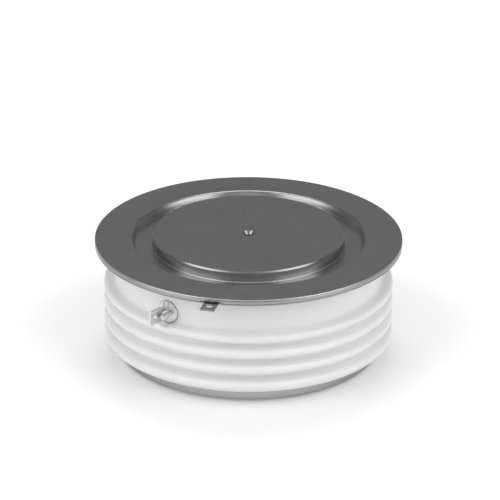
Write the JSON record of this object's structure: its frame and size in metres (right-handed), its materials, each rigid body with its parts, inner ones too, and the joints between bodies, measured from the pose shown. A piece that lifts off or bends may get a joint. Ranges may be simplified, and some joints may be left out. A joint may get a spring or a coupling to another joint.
{
  "type": "disc thyristor",
  "caption": "Disc-type power thyristor with ribbed ceramic ring, thin metal rim, flat contact faces, gate blade and auxiliary cathode tab.",
  "frame": {"origin": "centre of the lower (anode) contact face", "axes": "+Z towards the upper (cathode) contact face, -Y towards the gate terminal"},
  "size_m": [0.088, 0.0904, 0.0356],
  "materials": {
    "pole_nickel": "fine satin nickel plating on copper",
    "sheet_nickel": "satin nickel plating",
    "braze": "smooth braze fillet",
    "alumina": "white glazed alumina",
    "molybdenum": "lapped",
    "silicon": "etched",
    "edge_rubber": "cast silicone",
    "insulator": "turned plastic",
    "spring_steel": "drawn wire",
    "terminal_plating": "satin nickel plating",
    "tab_plating": "satin nickel plating",
    "solder": "bright solder"
  },
  "bodies": {
    "root": {"cathode_pole": "pole_nickel", "cathode_flange": "sheet_nickel", "cathode_braze": "braze", "housing_flange": "sheet_nickel", "ceramic_ring": "alumina", "anode_flange": "sheet_nickel", "anode_braze": "braze", "anode_pole": "pole_nickel", "anode_disc": "molybdenum", "silicon_wafer": "silicon", "edge_rubber": "edge_rubber", "cathode_disc": "molybdenum", "centring_ring": "insulator", "gate_cup": "insulator", "gate_spring": "spring_steel", "gate_pin": "terminal_plating", "gate_bush": "insulator", "gate_lead": "terminal_plating", "lead_sleeve": "insulator", "gate_eyelet": "terminal_plating", "gate_tube": "terminal_plating", "gate_seal": "solder", "gate_blade": "terminal_plating", "cathode_tab": "tab_plating"}
  },
  "joints": []
}
